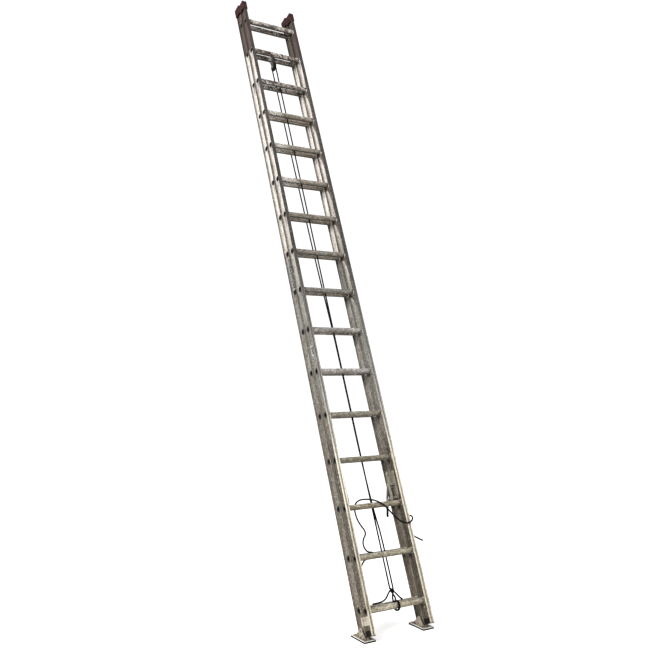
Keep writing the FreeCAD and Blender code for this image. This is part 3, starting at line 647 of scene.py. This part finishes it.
# Lock springs: six turns of wire round each hook's pin, wound with Geometry Nodes.
def coil_spring(name, place, wire, radius, height, coils, finish):
    tree = bpy.data.node_groups.new(name, "GeometryNodeTree")
    sockets = {}
    for label, kind in (("Wire", "NodeSocketFloat"), ("Radius", "NodeSocketFloat"),
                        ("Height", "NodeSocketFloat"), ("Coils", "NodeSocketFloat"),
                        ("Place", "NodeSocketVector"), ("Finish", "NodeSocketMaterial")):
        sockets[label] = tree.interface.new_socket(label, in_out="INPUT", socket_type=kind).identifier
    tree.interface.new_socket("Geometry", in_out="OUTPUT", socket_type="NodeSocketGeometry")
    bench = Level(tree)
    inputs = tree.nodes.new("NodeGroupInput")
    given = {label: Level(tree, inputs.outputs[label]) for label in sockets}
    spiral = bench.make("GeometryNodeCurveSpiral", None,
                        {"Resolution": 32, "Rotations": given["Coils"], "Start Radius": given["Radius"],
                         "End Radius": given["Radius"], "Height": given["Height"]})
    section = bench.make("GeometryNodeCurvePrimitiveCircle", None,
                         {"Resolution": 10, "Radius": given["Wire"]})
    wound = bench.make("GeometryNodeCurveToMesh", None,
                       {"Curve": spiral, "Profile Curve": section, "Fill Caps": True})
    laid = bench.make("GeometryNodeTransform", None,
                      {"Geometry": wound, "Rotation": (0.0, math.pi / 2, 0.0),
                       "Translation": given["Place"]})
    real = bench.make("GeometryNodeRealizeInstances", None, {"Geometry": laid})
    real = bench.make("GeometryNodeSetMaterial", None, {"Geometry": real, "Material": given["Finish"]})
    bench.make("NodeGroupOutput", None, {"Geometry": real})
    return grown(name, tree, sockets, {"Wire": wire, "Radius": radius, "Height": height, "Coils": coils,
                                       "Place": place, "Finish": finish})


LOCK_Z = 2 * PITCH
for name, start in (("left", -203.7), ("right", 192.3)):
    spring = coil_spring("lock_spring_" + name, ladder(start, 22.0, LOCK_Z + 38.0), 0.0012, 0.0062,
                         0.0114, 6.0, zinc_finish)
    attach(spring, "fly_section")
    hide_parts("lock_springs")


# Rivets: low domed heads on both ends of every rivet, set out with Geometry Nodes.
# The sections' guide irons and lock brackets have them, and one long one holds each foot plug.
def make_head():
    """A domed head facing +X with a stub of its shank, metres."""
    profile = [(-0.6, 2.4), (0.0, 4.5), (0.25, 4.6), (0.7, 4.35), (1.15, 3.7), (1.5, 2.6), (1.72, 1.3)]
    points = []
    rows = []
    for x, r in profile:
        rows.append([len(points) + i for i in range(24)])
        points += ring(x / 1000, r / 1000, 24)
    faces = strip(rows, closed=False)
    faces += [tuple(rows[0]), tuple(reversed(rows[-1]))]
    return mesh_object("head", points, faces)


def studded(name, source, spots, finish):
    """A copy of the source at every spot, turned to face its way along X."""
    tree = bpy.data.node_groups.new(name, "GeometryNodeTree")
    sockets = {}
    tree.interface.new_socket("Geometry", in_out="INPUT", socket_type="NodeSocketGeometry")
    for label, kind in (("Piece", "NodeSocketObject"), ("Finish", "NodeSocketMaterial")):
        sockets[label] = tree.interface.new_socket(label, in_out="INPUT", socket_type=kind).identifier
    tree.interface.new_socket("Geometry", in_out="OUTPUT", socket_type="NodeSocketGeometry")
    bench = Level(tree)
    inputs = tree.nodes.new("NodeGroupInput")
    spread = Level(tree, inputs.outputs["Geometry"])
    given = {label: Level(tree, inputs.outputs[label]) for label in sockets}
    facing = bench.make("GeometryNodeInputNamedAttribute", {"data_type": "FLOAT"}, {"Name": "facing"},
                        "Attribute")
    turned = bench.make("ShaderNodeCombineXYZ", None, {"Z": facing})
    piece = bench.make("GeometryNodeObjectInfo", None, {"Object": given["Piece"]}, "Geometry")
    placed = bench.make("GeometryNodeInstanceOnPoints", None,
                        {"Points": spread, "Instance": piece, "Rotation": turned})
    real = bench.make("GeometryNodeRealizeInstances", None, {"Geometry": placed})
    real = bench.make("GeometryNodeSetMaterial", None, {"Geometry": real, "Material": given["Finish"]})
    bench.make("NodeGroupOutput", None, {"Geometry": real})
    mesh = bpy.data.meshes.new(name)
    mesh.from_pydata([tuple(ladder(x, y, z)) for x, y, z, way in spots], [], [])
    mesh.attributes.new("facing", "FLOAT", "POINT").data.foreach_set(
        "value", [0.0 if way > 0 else math.pi for x, y, z, way in spots])
    return grown(name, tree, sockets, {"Piece": source, "Finish": finish}, mesh)


def rivet_ends(places, inner, outer):
    """Both ends of each rivet on both sides of the ladder: x, y, z and the way the head faces."""
    spots = []
    for side in (-1, 1):
        for y, z in places:
            spots += [(side * inner, y, z, -side), (side * outer, y, z, side)]
    return spots


fly_spots = rivet_ends([(11, LOCK_Z + 204), (10, LOCK_Z + 170), (11, LOCK_Z + 136)], 212.6, 218.3)
fly_spots += rivet_ends([(-12, -66), (10, -40)], 215.7, 221.4)
head = make_head()
for name, spots, finish in (("fly_rivet_heads", fly_spots, zinc_finish),
                            ("foot_rivet_heads", rivet_ends([(0, -122)], 203.6, 230.4), plug_finish)):
    heads = studded(name, head, spots, finish)
    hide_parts("fly_rivets")
    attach(heads, "fly_section")
bpy.data.objects.remove(head)


# Shoes: aluminium plates, dark with trodden dirt and with painted shade low down where the ears
# meet the plate, inside a bright rim, over black ribbed rubber soles, dusty where they meet the floor.
shoe_finish, bench, shader = new_finish("shoe_plate")
place = bench.make("ShaderNodeTexCoord", None, None, "Object")
off_centre = abs(abs(along(bench, place, "X")) - WEB_X / 1000)
along_foot = abs(along(bench, place, "Y"))
height = along(bench, place, "Z")
patch = mottle(bench, place, 60.0, 5.0, 0.7, 0.4)
fine = mottle(bench, place, 500.0, 3.0, 0.7)
near_edge = fade(off_centre, 0.0355, 0.0375) + fade(along_foot, 0.0680, 0.0700)
rim = fade(near_edge + (fine - 0.5) * 0.8, 0.3, 0.7)
colour = tint((0.11, 0.088, 0.060), (0.34, 0.30, 0.23), fade(patch, 0.42, 0.60))
colour = tint(colour, (0.30, 0.26, 0.20), fade(height, 0.014, 0.030) * 0.8)
# Painted shade low down, where the ears meet the plate, in patches.
colour = tint(colour, (0.035, 0.026, 0.018), fade(patch, 0.50, 0.40) * fade(height, 0.060, 0.012) * 0.9)
colour = tint(colour, (0.86, 0.84, 0.78), rim * fade(height, 0.0130, 0.0120))
colour = tint(colour, (0.006, 0.005, 0.005), fade(height, 0.0104, 0.0100))
colour = tint(colour, (0.03, 0.024, 0.018), fade(fine, 0.58, 0.68) * 0.6)
feed(shader, Base_Color=colour, Metallic=0.35 * fade(patch, 0.40, 0.60), Roughness=0.42 + 0.25 * patch,
     Normal=bump(bench, fine, 0.3, 0.0003))
for node in ("shoe_left", "shoe_right"):
    frame["nodes"][node].material_slots[0].material = shoe_finish

rubber_finish, bench, shader = new_finish("sole_rubber")
place = bench.make("ShaderNodeTexCoord", None, None, "Object")
dust = mottle(bench, place, 70.0, 5.0, 0.7)
pebble = mottle(bench, place, 1200.0, 2.0)
feed(shader, Base_Color=tint((0.003, 0.003, 0.003), (0.045, 0.040, 0.034), fade(dust, 0.5, 0.75) * 0.5),
     Roughness=0.72 + 0.2 * dust, Specular_IOR_Level=0.1, Normal=bump(bench, pebble, 0.3, 0.0003))
for node in ("shoe_tread_left", "shoe_tread_right"):
    frame["nodes"][node].material_slots[0].material = rubber_finish


# Rope: 10 mm black laid rope, three strands twisted together, greyed by dust on their crowns.
# One length runs over the pulley; a knot ties it round the fly's lowest rung.
rope_finish, bench, shader = new_finish("black_rope")
uv = bench.make("ShaderNodeUVMap", {"uv_map": "lay"})
place = bench.make("ShaderNodeTexCoord", None, None, "Object")
yarn = bench.make("ShaderNodeTexWave", {"wave_type": "BANDS", "bands_direction": "DIAGONAL"},
                  {"Vector": stretched(bench, uv, 6.0, 420.0, 1.0), "Scale": 1.0, "Distortion": 1.5,
                   "Detail": 2.0})
dust = fade(mottle(bench, place, 90.0, 4.0, 0.65), 0.57, 0.8)
fuzz = mottle(bench, place, 2500.0, 2.0)
feed(shader, Base_Color=tint((0.0015, 0.0015, 0.0018), (0.030, 0.028, 0.026), dust * 0.3 + yarn * 0.05),
     Roughness=0.9, Specular_IOR_Level=0.08,
     Normal=bump(bench, yarn + fuzz * 0.5, 0.5, 0.0005))

ROPE_R = 5.0


def smooth_line(name, route):
    """The route's NURBS spline, with its points as control points, read back as even points."""
    curve = bpy.data.curves.new(name, "CURVE")
    curve.dimensions = "3D"
    spline = curve.splines.new("NURBS")
    spline.points.add(len(route) - 1)
    for point, place in zip(spline.points, route):
        point.co = (*ladder(*place), 1)
    spline.order_u = 3
    spline.use_endpoint_u = True
    spline.resolution_u = 24
    carrier = bpy.data.objects.new(name, curve)
    scene.collection.objects.link(carrier)
    bpy.context.view_layer.update()
    graph = bpy.context.evaluated_depsgraph_get()
    mesh = bpy.data.meshes.new_from_object(carrier.evaluated_get(graph))
    line = [v.co.copy() for v in mesh.vertices]
    bpy.data.objects.remove(carrier)
    length = sum((b - a).length for a, b in zip(line, line[1:]))
    count = max(8, round(length / 0.0045))
    even = []
    reach = 0.0
    index = 0
    for step in range(count + 1):
        target = length * step / count
        while index < len(line) - 2 and reach + (line[index + 1] - line[index]).length < target:
            reach += (line[index + 1] - line[index]).length
            index += 1
        span = line[index + 1] - line[index]
        share = (target - reach) / span.length if span.length else 0.0
        even.append(line[index] + span * min(1.0, share))
    return even


def laid_tube(line, radius):
    """Three twisted strands round a line: vertices, faces, and each vertex's place in the lay."""
    sides = 18
    pitch = 0.034
    points = []
    rows = []
    lay = []
    side_way = None
    run = 0.0
    for i, here in enumerate(line):
        ahead = (line[min(i + 1, len(line) - 1)] - line[max(i - 1, 0)]).normalized()
        if side_way is None:
            side_way = ahead.orthogonal().normalized()
        side_way = (side_way - ahead * side_way.dot(ahead)).normalized()
        other_way = ahead.cross(side_way)
        run += (here - line[i - 1]).length if i else 0.0
        twist = math.tau * run / pitch
        rows.append([len(points) + k for k in range(sides)])
        for k in range(sides):
            angle = math.tau * k / sides
            lobe = abs(math.cos(1.5 * (angle - twist)))
            r = radius / 1000 * (0.96 + 0.09 * lobe ** 0.7)
            points.append(here + (side_way * math.cos(angle) + other_way * math.sin(angle)) * r)
            lay.append((k / sides, run))
    faces = strip(rows, closed=False)
    faces += [tuple(rows[0]), tuple(reversed(rows[-1]))]
    return points, faces, lay


def rope_piece(name, tubes):
    """One mesh of several laid tubes."""
    points = []
    faces = []
    lay = []
    for tube_points, tube_faces, tube_lay in tubes:
        faces += [tuple(v + len(points) for v in face) for face in tube_faces]
        points += tube_points
        lay += tube_lay
    made = mesh_object(name, points, faces)
    layer = made.data.uv_layers.new(name="lay")
    for loop in made.data.loops:
        layer.data[loop.index].uv = lay[loop.vertex_index]
    made.data.materials.append(rope_finish)
    return made


def laid_rope(name, route):
    line = smooth_line(name, route)
    return rope_piece(name, [laid_tube(line, ROPE_R)]), line


# The rope's middle runs round the wheel at this radius; two corners carry the bend.
WRAP_R = 29.0
RIM = WRAP_R * math.tan(math.radians(30))
CREST = WRAP_R / math.cos(math.radians(30))
LIFT_Y = BASE_Y - WRAP_R
LIFT_TOP = WHEEL[2] - 24

lift_route = [(4, LIFT_Y, LIFT_TOP), (8.5, LIFT_Y, 2150), (13, LIFT_Y, 108)]
lift, _ = laid_rope("rope_lift", lift_route)
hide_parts("rope_lift_strand")
travel = joints["fly_slide"]["range_m"][1]
tuple(ladder(4, LIFT_Y, LIFT_TOP))
1 - travel * 1000 / (LIFT_TOP - 108)
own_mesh(lift)
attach(lift, "base_section")

hand_route = [(4, LIFT_Y, LIFT_TOP + 0.3), (4, LIFT_Y, WHEEL[2] + RIM), (4, BASE_Y, WHEEL[2] + CREST),
              (4, BASE_Y + WRAP_R, WHEEL[2] + RIM), (4, BASE_Y + WRAP_R, WHEEL[2] - 54),
              (5, 100, 4100), (9, 100, 3516), (23, 100, 2400), (43, 100, 1900), (46, 100, 1500),
              (47, 100, 900), (60, 100, 565), (40, 46, 425), (40, 46, 110)]
hand, line = laid_rope("rope_hand", hand_route)
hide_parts("rope_hand_line")
ladder(*hand_route[0])
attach(hand, "base_section")

# The loose end's route is given from the second and third rungs.
Z2, Z3 = PITCH, 2 * PITCH
loose_route = [
    (-168, 27, Z2 - 48), (-148, 30, Z2 - 23), (-120, 33, Z2 - 10), (-90, 35, Z2 - 10),
    (-62, 36, Z2 - 10), (-51, 36, Z2 + 9), (-62, 34, Z2 + 28), (-86, 31, Z2 + 28),
    (-107, 29, Z2 + 38), (-119, 28, Z2 + 60),
    (-122, 28, Z2 + 86), (-112, 27, Z2 + 112), (-91, 26, Z2 + 134), (-88, 26, Z2 + 160),
    (-106, 26, Z2 + 186), (-124, 27, Z2 + 222), (-131, 29, Z2 + 262), (-129, 31, Z2 + 302),
    (-116, 26, Z2 + 336), (-88, 10, Z3 + 46), (-52, -8, Z3 + 42), (-8, -22, Z3 + 31), (34, -29, Z3 + 8),
    (72, -31, Z3 - 28), (106, -36, Z3 - 78), (142, -41, Z3 - 122), (182, -45, Z3 - 142),
    (222, -46, Z3 - 139), (244, -46, Z3 - 118), (249, -34, Z3 - 100), (248, -12, Z3 - 90),
    (243, 9, Z3 - 96), (237, 19, Z3 - 116), (230, 17, Z3 - 142), (227, 9, Z3 - 168), (229, 2, Z3 - 194),
    (244, -4, Z3 - 218), (272, -10, Z3 - 238), (304, -16, Z3 - 258)]
loose, line = laid_rope("rope_loose_end", loose_route)
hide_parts("rope_loose")
ladder(*loose_route[0])
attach(loose, "fly_section")


# Knot: three tight wraps, two legs down to the rung, two turns round it, two short tails,
# and the two strands that come into it from above.
def coil_line(middle, axis, start, radius, rise, turns):
    """Places along a coil about an axis in the ladder's own frame, millimetres."""
    axis = Vector(axis).normalized()
    out = Vector(start).normalized()
    cross = axis.cross(out)
    steps = round(28 * abs(turns))
    line = []
    for step in range(steps + 1):
        angle = math.tau * turns * step / steps
        spoke = (out * math.cos(angle) + cross * math.sin(angle)) * radius
        line.append(ladder(*(Vector(middle) + axis * (rise * step / steps) + spoke)))
    return line


wrap_axis = Vector((12, -1, -9))
wraps = coil_line((10.5, 35.2, 97.9), wrap_axis, (9, 0, 12), 6.0, 21.0, 3.2)
turns = coil_line((3, 0, 0), (1, 0, 0), (0, 19, 20), 27.9, 9.5, -1.96)
tubes = [laid_tube(wraps, 4.4), laid_tube(turns, ROPE_R)]
for name, route in (
        ("left_leg", [(25, 33, 82), (13, 29, 62), (5, 24, 42), (3, 19.2, 20.2)]),
        ("right_leg", [(12, 33, 88), (20, 31, 68), (28, 27, 50), (24, 23, 34), (13, 19, 20)]),
        ("right_tail", [(25, 33, 90), (40, 26, 70), (50, 15, 46), (64, 6, 27.5)]),
        ("lift_in", [(15, 35, 96), (13.5, 40, 101), (13, 42, 104), (13, 42, 107.6)]),
        ("hand_in", [(24, 34, 88), (33, 39, 94), (39, 45, 101), (40, 46, 109.6)])):
    tubes.append(laid_tube(smooth_line(name, route), ROPE_R))
knot = rope_piece("rope_knot_tied", tubes)
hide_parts("rope_knot")
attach(knot, "fly_section")

tail_route = [(12, 34, 95), (-13, 29, 80), (-38, 20, 55), (-72, 11, 38), (-112, 6, 33), (-158, 4, 33)]
tail, line = laid_rope("rope_tail", tail_route)
ladder(*tail_route[0])
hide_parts("rope_knot")
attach(tail, "fly_section")
